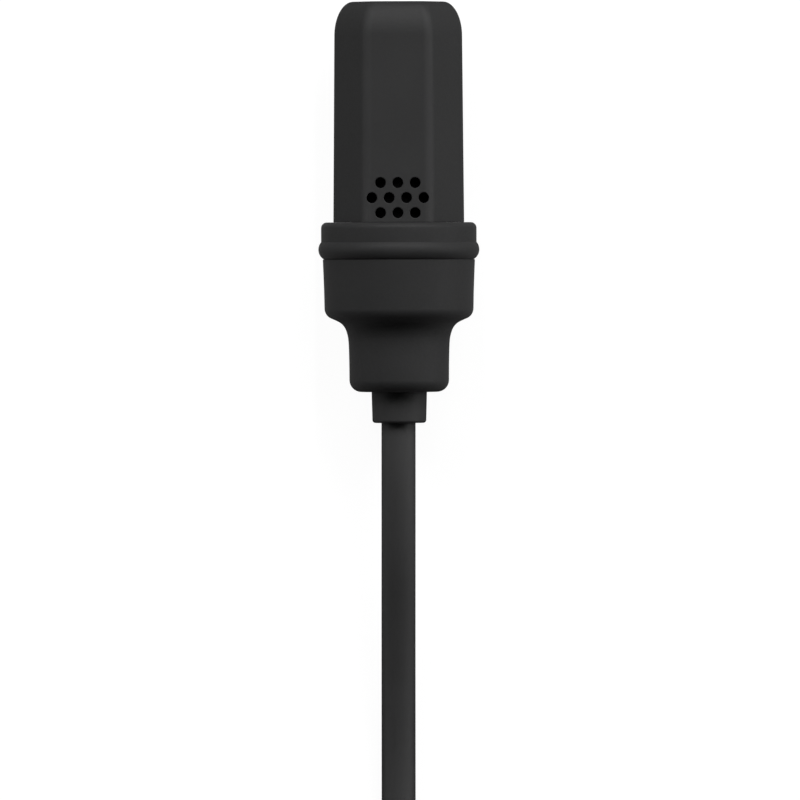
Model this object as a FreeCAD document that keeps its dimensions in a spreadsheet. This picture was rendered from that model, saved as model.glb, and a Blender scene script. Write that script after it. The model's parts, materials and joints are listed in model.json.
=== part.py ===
"""A miniature cardioid lavalier microphone with its cable and locking connector.

The microphone lies on a surface with its axis along Y: the cap points to +Y, the cable leaves
towards -Y, and +Z is up. The origin is on the surface, below the middle of the microphone.
Lengths are millimetres. Each turned piece is drawn as a half section in its own XY plane and
turned about Y, with heights counted from the cable end of the microphone or from the nose of
the connector.
"""
import FreeCAD, Part
import math
import os
import re

import Sketcher

DIMENSIONS = {
    # the microphone as a whole
    "head_length": 19.745,
    "axis_height": 3.764,
    "cut_margin": 1.0,
    # hexagonal cap
    "cap_foot": 9.443,
    "cap_foot_apothem": 2.722,
    "cap_apothem": 2.662,
    "cap_corner": 0.5,
    "cap_bore": 2.25,
    "cap_roof": 0.6,
    "shoulder_drop": 1.6,
    "shoulder_inset": 0.77,
    "hole_radius": 0.25,
    "hole_pitch": 0.811,
    "hole_row_pitch": 0.7035,
    "middle_row": 10.548,
    "top_hole_pitch": 0.76,
    "screen_recess": 0.08,
    "screen_foot": 9.54,
    "screen_head": 11.74,
    "top_screen_thickness": 0.1,
    # body shell: collar, bead, body, shoulder and neck
    "neck_end": 1.454,
    "neck_radius": 2.326,
    "neck_edge": 0.56,
    "neck_straight_head": 3.5,
    "neck_root": 3.986,
    "neck_root_radius": 2.387,
    "shoulder_hollow": 0.935,
    "shoulder_turn": 4.925,
    "shoulder_turn_radius": 3.1,
    "shoulder_edge": 0.42,
    "body_foot": 5.342,
    "body_foot_radius": 3.485,
    "bead_middle": 8.09,
    "bead_half": 0.387,
    "bead_curve": 0.54,
    "body_top_radius": 3.558,
    "collar_radius": 3.635,
    "collar_top": 9.403,
    "collar_edge": 0.23,
    "shell_bore": 2.85,
    "shell_floor": 5.6,
    "neck_bore": 1.5,
    "neck_floor": 2.3,
    "exit_bore": 1.0,
    # strain relief sleeve
    "sleeve_radius": 1.28,
    "sleeve_tip_radius": 1.243,
    "sleeve_edge": 0.14,
    "sleeve_head": 0.5,
    # chassis that carries the capsule
    "chassis_radius": 2.2,
    "chassis_bore": 1.6,
    "chassis_seat": 12.9,
    "chassis_top": 14.9,
    "chassis_cup": 1.96,
    "window_foot": 9.66,
    "window_head": 11.5,
    "window_width": 2.6,
    "groove_foot": 12.0,
    "groove_width": 0.36,
    "groove_depth": 0.28,
    "seal_section": 0.155,
    # capsule
    "can_foot": 12.95,
    "can_length": 3.8,
    "can_radius": 1.95,
    "can_wall": 0.12,
    "can_lip": 1.6,
    "can_front": 0.15,
    "can_hole": 0.16,
    "can_hole_circle": 0.95,
    "board_thickness": 0.35,
    "board_hole": 0.2,
    "board_hole_circle": 0.75,
    "film_thickness": 0.03,
    "film_gap": 0.05,
    "film_ring": 0.3,
    "film_ring_bore": 1.45,
    "backplate_thickness": 0.5,
    "backplate_hole": 0.12,
    "backplate_hole_circle": 0.85,
    "holder_bore": 1.25,
    "contact_wall": 0.15,
    "felt_thickness": 0.4,
    "felt_radius": 1.6,
    "damper_thickness": 0.8,
    "damper_foot": 14.4,
    "chip_width": 0.9,
    "chip_depth": 0.7,
    "chip_height": 0.4,
    "capacitor_length": 0.6,
    "capacitor_width": 0.3,
    "capacitor_height": 0.3,
    "capacitor_offset": 0.45,
    "solder_radius": 0.24,
    "solder_height": 0.22,
    "wire_radius": 0.16,
    "wire_circle": 0.34,
    "wire_foot_run": 1.6,
    "wire_head_run": 2.2,
    # cable
    "cable_radius": 0.8,
    "jacket_end": 4.2,
    "crimp_thickness": 0.3,
    "crimp_foot": 2.9,
    "crimp_length": 1.1,
    "anchor_top": 4.6,
    # coil of put-away cable and its tie
    "coil_x": 9.1,
    "coil_y": -41.3,
    "coil_inner": 4.0,
    "coil_outer": 12.83,
    "coil_height": 9.6,
    "coil_edge": 1.2,
    "tie_thickness": 0.35,
    "tie_width": 4.0,
    "tie_angle": -45.0,
    # connector, heights counted from its nose
    "plug_x": 8.05,
    "plug_y": -90.92,
    "plug_turn": 12.0,
    "plug_length": 35.0,
    "nose_radius": 4.6,
    "nose_length": 9.0,
    "nose_chamfer": 0.3,
    "nose_lip": 2.3,
    "nose_waist_radius": 4.4,
    "nose_bore": 4.05,
    "barrel_radius": 5.3,
    "barrel_bore": 4.3,
    "barrel_end": 22.0,
    "barrel_edge": 0.4,
    "insert_foot": 0.4,
    "insert_head": 12.0,
    "contact_circle": 2.1,
    "contact_radius": 0.75,
    "contact_bore": 0.45,
    "contact_foot": 0.8,
    "contact_head": 13.6,
    "contact_web": 2.0,
    "cup_floor": 12.0,
    "slot_width": 3.4,
    "slot_foot": 10.0,
    "slot_head": 17.2,
    "hook_slot_width": 2.5,
    "hook_slot_foot": 2.4,
    "hook_slot_head": 4.6,
    "latch_bed": 2.5,
    "latch_low": 3.35,
    "latch_thickness": 0.5,
    "latch_width": 2.1,
    "latch_clearance": 0.2,
    "hook_height": 4.95,
    "hook_clearance": 0.3,
    "hook_ramp": 0.7,
    "hook_length": 1.5,
    "button_width": 3.1,
    "button_height": 6.0,
    "button_bevel": 0.8,
    "button_bevel_height": 0.5,
    "spring_foot": 5.6,
    "spring_head": 9.6,
    "spring_thickness": 0.12,
    "spring_width": 1.8,
    "spring_curve": 3.2,
    "screw_height": 10.6,
    "screw_radius": 0.75,
    "screw_inner": 3.6,
    "screw_sink": 0.15,
    "screw_slot": 0.22,
    "screw_slot_depth": 0.4,
    "boot_shank": 18.5,
    "boot_bore": 2.4,
    "boot_flange_radius": 5.0,
    "boot_flange_head": 23.2,
    "boot_root_radius": 3.7,
    "boot_tip_radius": 1.55,
    "boot_rib_foot": 24.2,
    "boot_rib_count": 5,
    "boot_rib_depth": 0.45,
    "boot_rib_share": 0.45,
    "boot_tip_length": 1.0,
    "clamp_foot": 17.6,
    "clamp_head": 21.5,
    "plug_jacket_end": 17.6,
    "conductor_radius": 0.3,
    "conductor_circle": 0.47,
    "conductor_foot_run": 1.1,
    "conductor_head_run": 1.5,
    "conductor_gap": 0.6,
}

# The cable lies along these points, from the sleeve to the coil and from the coil to the
# connector's boot: straight runs, with a tangent arc at every point between the two ends.
LEAD_ROUTE = [
    (0.0, -9.8725, 3.764),
    (0.0, -14.2, 3.764),
    (0.0, -19.8, 1.95),
    (0.0, -25.6, 0.84),
    (0.0, -31.1, 0.82),
    (-2.2, -37.19, 1.15),
]
TAIL_ROUTE = [
    (-2.46, -44.62, 9.15),
    (-1.61, -47.6, 9.05),
    (0.108, -53.555, 5.3),
    (0.773, -56.685, 5.3),
]

CONTACT_ANGLES = (45, 135, 225, 315)
WIRE_ANGLES = (90, 210, 330)

document = FreeCAD.newDocument("LavalierMicrophone")
sheet = document.addObject("Spreadsheet::Sheet", "Dims")
for row, (alias, size) in enumerate(DIMENSIONS.items(), start=1):
    sheet.set(f"A{row}", alias.replace("_", " "))
    sheet.set(f"B{row}", str(size))
    sheet.setAlias(f"B{row}", alias)
document.recompute()

sub_parts = []


def bound(formula):
    """A formula in the sheet's names, written so that another object can use it."""
    return re.sub(r"\b(?!sin|cos|tan|sqrt)([a-z]\w*)\b", r"Dims.\1", formula)


def number(formula):
    """What a formula in the sheet's names comes to, as a plain number."""
    result = sheet.evalExpression(bound(formula))
    return float(getattr(result, "Value", result))


def origin_plane(body, role):
    """One of the planes of a body's own origin."""
    return next(feature for feature in body.Origin.OriginFeatures if feature.Role == role)


def place(item, frame):
    """Bind an object's placement to the sheet: the microphone's axis, the plug's or the coil's."""
    if frame == "microphone":
        item.setExpression(".Placement.Base.y", bound("0 - head_length / 2"))
        item.setExpression(".Placement.Base.z", bound("axis_height"))
    elif frame == "plug":
        item.setExpression(".Placement.Base.x", bound("plug_x"))
        item.setExpression(".Placement.Base.y", bound("plug_y"))
        item.setExpression(".Placement.Base.z", bound("barrel_radius"))
        item.setExpression(".Placement.Rotation.Angle", bound("plug_turn"))
    elif frame == "coil":
        item.setExpression(".Placement.Base.x", bound("coil_x"))
        item.setExpression(".Placement.Base.y", bound("coil_y"))
        item.setExpression(".Placement.Base.z", bound("tie_thickness"))


def new_body(label, frame):
    """An empty body for one sub-part."""
    body = document.addObject("PartDesign::Body", label)
    body.Label = label
    place(body, frame)
    sub_parts.append(body)
    return body


def new_sketch(body, name, role="XY_Plane"):
    """A sketch on one of the body's origin planes."""
    sketch = body.newObject("Sketcher::SketchObject", name)
    sketch.AttachmentSupport = [(origin_plane(body, role), "")]
    sketch.MapMode = "FlatFace"
    return sketch


def constrain(sketch, kind, geometry, point, formula):
    """Hold one coordinate of a point, or a radius, at a formula in the sheet's names."""
    amount = number(formula)
    if kind == "Radius":
        index = sketch.addConstraint(Sketcher.Constraint("Radius", geometry, amount))
    elif abs(amount) < 1e-9:
        across = -2 if kind == "DistanceX" else -1
        sketch.addConstraint(Sketcher.Constraint("PointOnObject", geometry, point, across))
        return
    else:
        index = sketch.addConstraint(
            Sketcher.Constraint(kind, -1, 1, geometry, point, amount)
        )
    sketch.setExpression(f"Constraints[{index}]", bound(formula))


def arc_between(start, end, radius):
    """An arc from start to end whose centre is on the left of the chord if radius is positive."""
    chord = end - start
    across = FreeCAD.Vector(-chord.y, chord.x, 0).normalize()
    rise = math.sqrt(radius**2 - chord.Length**2 / 4)
    side = math.copysign(1, radius)
    centre = (start + end) / 2 + across * rise * side
    middle = centre - across * abs(radius) * side
    return Part.Arc(start, middle, end)


def outline(sketch, corners, arcs=None):
    """A closed outline through corners given as pairs of formulas.

    arcs maps a corner's index to the radius of the arc that leaves it, and the radius is a
    formula with a sign: positive has the arc's centre on the left of the way round.
    """
    arcs = arcs or {}
    points = [FreeCAD.Vector(number(x), number(y), 0) for x, y in corners]
    first = sketch.GeometryCount
    for index, start in enumerate(points):
        end = points[(index + 1) % len(points)]
        if index in arcs:
            sketch.addGeometry(arc_between(start, end, number(arcs[index])), False)
        else:
            sketch.addGeometry(Part.LineSegment(start, end), False)
    starts, ends = [], []
    for index in range(len(points)):
        backwards = index in arcs and number(arcs[index]) < 0
        starts.append(2 if backwards else 1)
        ends.append(1 if backwards else 2)
    for index in range(len(points)):
        following = (index + 1) % len(points)
        sketch.addConstraint(
            Sketcher.Constraint(
                "Coincident", first + index, ends[index], first + following, starts[following]
            )
        )
    for index, (x, y) in enumerate(corners):
        constrain(sketch, "DistanceX", first + index, starts[index], x)
        constrain(sketch, "DistanceY", first + index, starts[index], y)
    for index, radius in arcs.items():
        constrain(sketch, "Radius", first + index, 0, radius.lstrip("-"))


def circles(sketch, places, radius):
    """Round holes, each at a pair of formulas."""
    for x, y in places:
        centre = FreeCAD.Vector(number(x), number(y), 0)
        index = sketch.addGeometry(
            Part.Circle(centre, FreeCAD.Vector(0, 0, 1), number(radius)), False
        )
        constrain(sketch, "DistanceX", index, 3, x)
        constrain(sketch, "DistanceY", index, 3, y)
        constrain(sketch, "Radius", index, 0, radius)


def turned(label, corners, arcs=None, frame="microphone"):
    """A piece turned about its axis, Y, from a half section of (radius, height) corners."""
    body = new_body(label, frame)
    sketch = new_sketch(body, label + "_section")
    outline(sketch, corners, arcs)
    turn = body.newObject("PartDesign::Revolution", label + "_turn")
    turn.Profile = sketch
    turn.ReferenceAxis = (sketch, ["V_Axis"])
    turn.Angle = 360
    return body


def tube_section(inner, outer, foot, head):
    """The half section of a plain tube."""
    return [(inner, foot), (outer, foot), (outer, head), (inner, head)]


def cut_through(body, name, role, both_ways=True, upwards=True, depth=None):
    """An empty sketch and the pocket that it will cut."""
    sketch = new_sketch(body, name + "_outline", role)
    pocket = body.newObject("PartDesign::Pocket", name)
    pocket.Profile = sketch
    if depth:
        pocket.Type = "Length"
        pocket.setExpression("Length", bound(depth))
    else:
        pocket.Type = "ThroughAll"
    pocket.Midplane = both_ways
    if not both_ways:
        pocket.Reversed = upwards
    return sketch


def ring_of(count, circle, turn=0):
    """Places evenly spaced on a circle, as pairs of formulas."""
    angles = [turn + 360 * step / count for step in range(count)]
    return [(f"{circle} * cos({a}deg)", f"{circle} * sin({a}deg)") for a in angles]


def rectangle(sketch, left, right, foot, head):
    """A rectangle between four formulas."""
    outline(sketch, [(left, foot), (right, foot), (right, head), (left, head)])


def feature(label, shape):
    """A sub-part whose shape is made by hand because no sketch makes it."""
    item = document.addObject("Part::Feature", label)
    item.Label = label
    item.Shape = shape
    sub_parts.append(item)
    return item


def compound(label, members, frame):
    """Several equal solids kept as one sub-part."""
    item = document.addObject("Part::Compound", label)
    item.Label = label
    item.Links = members
    place(item, frame)
    sub_parts.append(item)
    return item


def fillet_path(points):
    """Straight runs and tangent arcs along a route, with the radii of the arcs."""
    route = [FreeCAD.Vector(*point) for point in points]
    edges, radii = [], []
    start = route[0]
    for before, corner, after in zip(route, route[1:], route[2:]):
        arriving = (corner - before).normalize()
        leaving = (after - corner).normalize()
        half_turn = arriving.getAngle(leaving) / 2
        reach = 0.45 * min((corner - before).Length, (after - corner).Length)
        radius = reach / math.tan(half_turn)
        entry = corner - arriving * reach
        departure = corner + leaving * reach
        inward = (leaving - arriving).normalize()
        middle = corner + inward * (radius / math.cos(half_turn) - radius)
        edges.append(Part.LineSegment(start, entry).toShape())
        edges.append(Part.Arc(entry, middle, departure).toShape())
        radii.append(radius)
        start = departure
    edges.append(Part.LineSegment(start, route[-1]).toShape())
    return Part.Wire(edges), radii


def round_tube(points, radius):
    """A solid round rod along a route."""
    path, radii = fillet_path(points)
    start = FreeCAD.Vector(*points[0])
    heading = FreeCAD.Vector(*points[1]) - start
    profile = Part.Wire([Part.Circle(start, heading, radius).toShape()])
    solid = path.makePipeShell([profile], True, True)
    return solid, path.Length, radii


# ------------------------------------------------------------------------------------- the cap


def rounded_hexagon(sketch, apothem, corner):
    """A hexagon with flats facing +Z and -Z and rounded corners, from two formulas."""
    centres = []
    for index in range(6):
        angle = 60 * index
        distance = f"({apothem} - {corner}) / cos(30deg)"
        centres.append((f"{distance} * cos({angle}deg)", f"{distance} * sin({angle}deg)", angle))
    radius = number(corner)
    arcs = []
    for x, y, angle in centres:
        centre = FreeCAD.Vector(number(x), number(y), 0)
        circle = Part.Circle(centre, FreeCAD.Vector(0, 0, 1), radius)
        sweep = math.radians(angle - 30), math.radians(angle + 30)
        arcs.append(sketch.addGeometry(Part.ArcOfCircle(circle, *sweep), False))
    sides = []
    for index in range(6):
        start = sketch.getPoint(arcs[index], 2)
        end = sketch.getPoint(arcs[(index + 1) % 6], 1)
        sides.append(sketch.addGeometry(Part.LineSegment(start, end), False))
    for index in range(6):
        following = arcs[(index + 1) % 6]
        sketch.addConstraint(Sketcher.Constraint("Tangent", arcs[index], 2, sides[index], 1))
        sketch.addConstraint(Sketcher.Constraint("Tangent", sides[index], 2, following, 1))
    for arc, (x, y, _) in zip(arcs, centres):
        constrain(sketch, "DistanceX", arc, 3, x)
        constrain(sketch, "DistanceY", arc, 3, y)
        constrain(sketch, "Radius", arc, 0, corner)


def hexagon_section(body, name, height, apothem):
    """A rounded hexagon across the cap's axis at a height."""
    sketch = new_sketch(body, name, "XZ_Plane")
    rounded_hexagon(sketch, apothem, "cap_corner")
    sketch.setExpression(".AttachmentOffset.Base.z", bound(f"0 - ({height})"))
    return sketch


def lofted(body, name, sections, ruled):
    """A loft through sections of the cap."""
    loft = body.newObject("PartDesign::AdditiveLoft", name)
    loft.Profile = sections[0]
    loft.Sections = sections[1:]
    loft.Ruled = ruled
    return loft


def make_cap():
    """The hexagonal cap: drafted sides, elliptical shoulders, a round bore and sound holes."""
    body = new_body("grille_cap", "microphone")
    foot = hexagon_section(body, "cap_foot_section", "cap_foot", "cap_foot_apothem")
    shoulder_foot = "head_length - shoulder_drop"
    waist = hexagon_section(body, "cap_waist_section", shoulder_foot, "cap_apothem")
    lofted(body, "cap_sides", [foot, waist], True)
    sections = []
    for step in (0, 20, 38, 54, 68, 80, 90):
        height = f"{shoulder_foot} + shoulder_drop * sin({step}deg)"
        apothem = f"cap_apothem - shoulder_inset * (1 - cos({step}deg))"
        sections.append(hexagon_section(body, f"cap_shoulder_{step}", height, apothem))
    lofted(body, "cap_shoulders", sections, False)

    bore = new_sketch(body, "cap_bore_section")
    recess = "cap_bore + screen_recess"
    roof = "head_length - cap_roof"
    corners = [
        ("0", "cap_foot - cut_margin"),
        ("cap_bore", "cap_foot - cut_margin"),
        ("cap_bore", "screen_foot"),
        (recess, "screen_foot"),
        (recess, "screen_head"),
        ("cap_bore", "screen_head"),
        ("cap_bore", roof),
        ("0", roof),
    ]
    outline(bore, corners)
    groove = body.newObject("PartDesign::Groove", "cap_hollow")
    groove.Profile = bore
    groove.ReferenceAxis = (bore, ["V_Axis"])
    groove.Angle = 360

    side_holes = cut_through(body, "side_holes", "XY_Plane", depth="3 * cap_foot_apothem")
    for row, count in ((1, 3), (0, 4), (-1, 3)):
        height = f"middle_row + {row} * hole_row_pitch"
        places = [(f"hole_pitch * {step - (count - 1) / 2}", height) for step in range(count)]
        circles(side_holes, places, "hole_radius")

    top_holes = cut_through(body, "top_holes", "XZ_Plane")
    circles(top_holes, [("0", "0")], "hole_radius")
    circles(top_holes, ring_of(6, "top_hole_pitch"), "hole_radius")
    circles(top_holes, ring_of(6, "2 * top_hole_pitch"), "hole_radius")
    circles(top_holes, ring_of(6, "sqrt(3) * top_hole_pitch", 30), "hole_radius")


def make_cap_screens():
    """The fine screens that are bonded inside the cap."""
    roof = "head_length - cap_roof"
    under = f"{roof} - top_screen_thickness"
    turned("front_screen", tube_section("0", "cap_bore", under, roof))
    recess = "cap_bore + screen_recess"
    turned("port_screen", tube_section("cap_bore", recess, "screen_foot", "screen_head"))


# ---------------------------------------------------------------------------- the body shell


def make_body_shell():
    """Collar, bead, tapering body, hollow shoulder and neck in one shell."""
    bead_foot = "bead_middle - bead_half"
    bead_head = "bead_middle + bead_half"
    corners = [
        ("exit_bore", "neck_end"),
        ("neck_radius - neck_edge", "neck_end"),
        ("neck_radius", "neck_end + neck_edge"),
        ("neck_radius", "neck_straight_head"),
        ("neck_root_radius", "neck_root"),
        ("shoulder_turn_radius", "shoulder_turn"),
        ("body_foot_radius", "body_foot"),
        ("body_top_radius", bead_foot),
        ("collar_radius", bead_head),
        ("collar_radius", "collar_top - collar_edge"),
        ("collar_radius - collar_edge", "collar_top"),
        ("shell_bore", "collar_top"),
        ("shell_bore", "shell_floor"),
        ("neck_bore", "shell_floor"),
        ("neck_bore", "neck_floor"),
        ("exit_bore", "neck_floor"),
    ]
    arcs = {
        1: "neck_edge",
        4: "-shoulder_hollow",
        5: "shoulder_edge",
        7: "bead_curve",
        9: "collar_edge",
    }
    turned("body_shell", corners, arcs)


def make_strain_relief():
    """The sleeve on the cable, with its shank through the neck and a head that holds it."""
    corners = [
        ("cable_radius", "0"),
        ("sleeve_tip_radius - sleeve_edge", "0"),
        ("sleeve_tip_radius", "sleeve_edge"),
        ("sleeve_radius", "neck_end"),
        ("exit_bore", "neck_end"),
        ("exit_bore", "neck_floor"),
        ("neck_bore", "neck_floor"),
        ("neck_bore", "neck_floor + sleeve_head"),
        ("cable_radius", "neck_floor + sleeve_head"),
    ]
    turned("strain_relief", corners, {1: "sleeve_edge"})


def make_cable_anchor():
    """The end of the cable's jacket, its crimp ring and the resin that holds them."""
    turned("cable_jacket_end", tube_section("0", "cable_radius", "0", "jacket_end"))
    crimp = "cable_radius + crimp_thickness"
    crimp_head = "crimp_foot + crimp_length"
    turned("crimp_ring", tube_section("cable_radius", crimp, "crimp_foot", crimp_head))
    corners = [
        (crimp, "neck_floor + sleeve_head"),
        ("neck_bore", "neck_floor + sleeve_head"),
        ("neck_bore", "anchor_top"),
        ("cable_radius", "anchor_top"),
        ("cable_radius", crimp_head),
        (crimp, crimp_head),
    ]
    turned("anchor_resin", corners)


# ------------------------------------------------------------------------ chassis and capsule


def make_chassis():
    """The turned tube inside the shell and cap: sound windows, a seal groove and the cup."""
    groove_floor = "chassis_radius - groove_depth"
    groove_head = "groove_foot + groove_width"
    corners = [
        ("chassis_bore", "shell_floor"),
        ("shell_bore", "shell_floor"),
        ("shell_bore", "collar_top"),
        ("chassis_radius", "collar_top"),
        ("chassis_radius", "groove_foot"),
        (groove_floor, "groove_foot"),
        (groove_floor, groove_head),
        ("chassis_radius", groove_head),
        ("chassis_radius", "chassis_top"),
        ("chassis_cup", "chassis_top"),
        ("chassis_cup", "chassis_seat"),
        ("chassis_bore", "chassis_seat"),
    ]
    body = turned("inner_chassis", corners)
    windows = cut_through(body, "sound_windows", "XY_Plane")
    rectangle(windows, "0 - window_width / 2", "window_width / 2", "window_foot", "window_head")


def make_cap_seal():
    """The rubber ring that grips the cap and parts the front air from the rear air."""
    body = new_body("cap_seal", "microphone")
    sketch = new_sketch(body, "cap_seal_section")
    middle = ("chassis_radius - groove_depth + seal_section", "groove_foot + groove_width / 2")
    circles(sketch, [middle], "seal_section")
    turn = body.newObject("PartDesign::Revolution", "cap_seal_turn")
    turn.Profile = sketch
    turn.ReferenceAxis = (sketch, ["V_Axis"])
    turn.Angle = 360


def make_capsule():
    """The electret capsule, from its can to its circuit board."""
    can_head = "can_foot + can_length"
    inner = "can_radius - can_wall"
    under_front = f"{can_head} - can_front"
    board_foot = "can_foot + can_wall"
    board_head = f"{board_foot} + board_thickness"
    ring_foot = f"{under_front} - film_ring"
    film_foot = f"{ring_foot} - film_thickness"
    gap_foot = f"{film_foot} - film_gap"
    plate_foot = f"{gap_foot} - backplate_thickness"

    can = turned(
        "capsule_can",
        [
            ("can_lip", "can_foot"),
            ("can_radius", "can_foot"),
            ("can_radius", can_head),
            ("0", can_head),
            ("0", under_front),
            (inner, under_front),
            (inner, board_foot),
            ("can_lip", board_foot),
        ],
    )
    can_holes = cut_through(can, "can_holes", "XZ_Plane")
    circles(can_holes, [("0", "0")] + ring_of(6, "can_hole_circle"), "can_hole")

    felt_head = f"{can_head} + felt_thickness"
    turned("front_felt", tube_section("0", "felt_radius", can_head, felt_head))
    turned("diaphragm_ring", tube_section("film_ring_bore", inner, ring_foot, under_front))
    turned("diaphragm", tube_section("0", inner, film_foot, ring_foot))
    turned("spacer_ring", tube_section("film_ring_bore", inner, gap_foot, film_foot))
    plate = turned("backplate", tube_section("0", "film_ring_bore", plate_foot, gap_foot))
    plate_holes = cut_through(plate, "backplate_holes", "XZ_Plane")
    circles(plate_holes, ring_of(6, "backplate_hole_circle"), "backplate_hole")
    holder = [
        ("holder_bore", board_head),
        (inner, board_head),
        (inner, gap_foot),
        ("film_ring_bore", gap_foot),
        ("film_ring_bore", plate_foot),
        ("holder_bore", plate_foot),
    ]
    turned("backplate_holder", holder)
    contact_inner = "holder_bore - contact_wall"
    turned("contact_ring", tube_section(contact_inner, "holder_bore", board_head, plate_foot))
    damper_head = "damper_foot + damper_thickness"
    turned("rear_damper", tube_section("0", contact_inner, "damper_foot", damper_head))
    board = turned("circuit_board", tube_section("0", inner, board_foot, board_head))
    board_holes = cut_through(board, "board_holes", "XZ_Plane")
    circles(board_holes, ring_of(2, "board_hole_circle"), "board_hole")

    make_board_parts(board_foot, board_head)


def block(name, size, corner):
    """A plain box with its size and low corner given by formulas."""
    box = document.addObject("Part::Box", name)
    for side, formula in zip(("Length", "Width", "Height"), size):
        box.setExpression(side, bound(formula))
    for coordinate, formula in zip("xyz", corner):
        box.setExpression(f".Placement.Base.{coordinate}", bound(formula))
    return box


def make_board_parts(board_foot, board_head):
    """The transistor on the front of the board and the parts and joints on its back."""
    half_width = "0 - chip_width / 2"
    half_depth = "0 - chip_depth / 2"
    chip = block(
        "chip_block",
        ("chip_width", "chip_height", "chip_depth"),
        (half_width, board_head, half_depth),
    )
    compound("fet_chip", [chip], "microphone")
    capacitors = []
    for side, name in ((-1, "left"), (1, "right")):
        corner = (
            f"{side} * capacitor_offset - capacitor_length / 2",
            f"{board_foot} - capacitor_height",
            "capacitor_offset - capacitor_width / 2",
        )
        size = ("capacitor_length", "capacitor_height", "capacitor_width")
        capacitors.append(block(f"{name}_capacitor", size, corner))
    compound("chip_capacitors", capacitors, "microphone")
    joints = []
    for angle in WIRE_ANGLES:
        cone = document.addObject("Part::Cone", f"solder_{angle}")
        cone.setExpression("Radius1", bound("solder_radius"))
        cone.setExpression("Radius2", bound("wire_radius"))
        cone.setExpression("Height", bound("solder_height"))
        cone.Placement.Rotation = FreeCAD.Rotation(FreeCAD.Vector(1, 0, 0), 90)
        cone.setExpression(".Placement.Base.x", bound(f"can_hole_circle * cos({angle}deg)"))
        cone.setExpression(".Placement.Base.y", bound(board_foot))
        cone.setExpression(".Placement.Base.z", bound(f"can_hole_circle * sin({angle}deg)"))
        joints.append(cone)
    compound("solder_joints", joints, "microphone")


def make_wires():
    """Three insulated wires from the cable's end up to the solder joints."""
    solder_head = "can_foot + can_wall - solder_height"
    stations = (
        ("wire_circle", "jacket_end"),
        ("wire_circle", "jacket_end + wire_foot_run"),
        ("can_hole_circle", f"{solder_head} - wire_head_run"),
        ("can_hole_circle", solder_head),
    )
    stations = [(number(circle), number(height)) for circle, height in stations]
    middle = number("axis_height")
    shift = number("head_length") / 2
    for angle, label in zip(WIRE_ANGLES, ("shield_wire", "signal_wire", "bias_wire")):
        cosine, sine = math.cos(math.radians(angle)), math.sin(math.radians(angle))
        route = [(r * cosine, y - shift, middle + r * sine) for r, y in stations]
        shape, _, _ = round_tube(route, number("wire_radius"))
        feature(label, shape)


# ------------------------------------------------------------------------------ the cable


def make_cable():
    """The two free lengths of cable, the coil between them and its tie."""
    radius = number("cable_radius")
    for label, route in (("cable_lead", LEAD_ROUTE), ("cable_tail", TAIL_ROUTE)):
        shape, length, radii = round_tube(route, radius)
        feature(label, shape)
        expected = math.pi * radius**2 * length
        print(f"{label}: {length:.1f} mm long, radii", [round(r, 1) for r in radii])
        print(f"{label}: volume {shape.Volume:.2f}, section times length {expected:.2f}")

    coil = new_body("cable_coil", "coil")
    sketch = new_sketch(coil, "coil_section", "XZ_Plane")
    corners = [
        ("coil_inner + coil_edge", "0"),
        ("coil_outer - coil_edge", "0"),
        ("coil_outer", "coil_edge"),
        ("coil_outer", "coil_height - coil_edge"),
        ("coil_outer - coil_edge", "coil_height"),
        ("coil_inner + coil_edge", "coil_height"),
        ("coil_inner", "coil_height - coil_edge"),
        ("coil_inner", "coil_edge"),
    ]
    outline(sketch, corners, {index: "coil_edge" for index in (1, 3, 5, 7)})
    turn = coil.newObject("PartDesign::Revolution", "coil_turn")
    turn.Profile = sketch
    turn.ReferenceAxis = (sketch, ["V_Axis"])
    turn.Angle = 360

    tie = new_body("coil_tie", "coil")
    frame = new_sketch(tie, "tie_frame", "XZ_Plane")
    rectangle(frame, "coil_inner", "coil_outer", "0", "coil_height")
    rectangle(
        frame,
        "coil_inner - tie_thickness",
        "coil_outer + tie_thickness",
        "0 - tie_thickness",
        "coil_height + tie_thickness",
    )
    pad = tie.newObject("PartDesign::Pad", "tie_strap")
    pad.Profile = frame
    pad.setExpression("Length", bound("tie_width"))
    pad.Midplane = True
    tie.setExpression(".Placement.Rotation.Angle", bound("tie_angle"))


# -------------------------------------------------------------------------- the connector


def make_plug_shell():
    """The metal shell: nose with an entry lip, barrel, latch slot, hook window and screw hole."""
    corners = [
        ("nose_bore", "0"),
        ("nose_radius - nose_chamfer", "0"),
        ("nose_radius", "nose_chamfer"),
        ("nose_radius", "nose_lip"),
        ("nose_waist_radius", "nose_lip"),
        ("nose_waist_radius", "nose_length"),
        ("barrel_radius - barrel_edge", "nose_length"),
        ("barrel_radius", "nose_length + barrel_edge"),
        ("barrel_radius", "barrel_end - barrel_edge"),
        ("barrel_radius - barrel_edge", "barrel_end"),
        ("barrel_bore", "barrel_end"),
        ("barrel_bore", "insert_head"),
        ("nose_bore", "insert_head"),
    ]
    body = turned("plug_shell", corners, {6: "barrel_edge", 8: "barrel_edge"}, "plug")
    slot = cut_through(body, "button_slot", "XY_Plane", both_ways=False)
    rectangle(slot, "0 - slot_width / 2", "slot_width / 2", "slot_foot", "slot_head")
    window = cut_through(body, "hook_window", "XY_Plane", both_ways=False)
    half = "hook_slot_width / 2"
    rectangle(window, f"0 - {half}", half, "hook_slot_foot", "hook_slot_head")
    screw = cut_through(body, "screw_hole", "YZ_Plane", both_ways=False)
    circles(screw, [("screw_height", "0")], "screw_radius")


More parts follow.
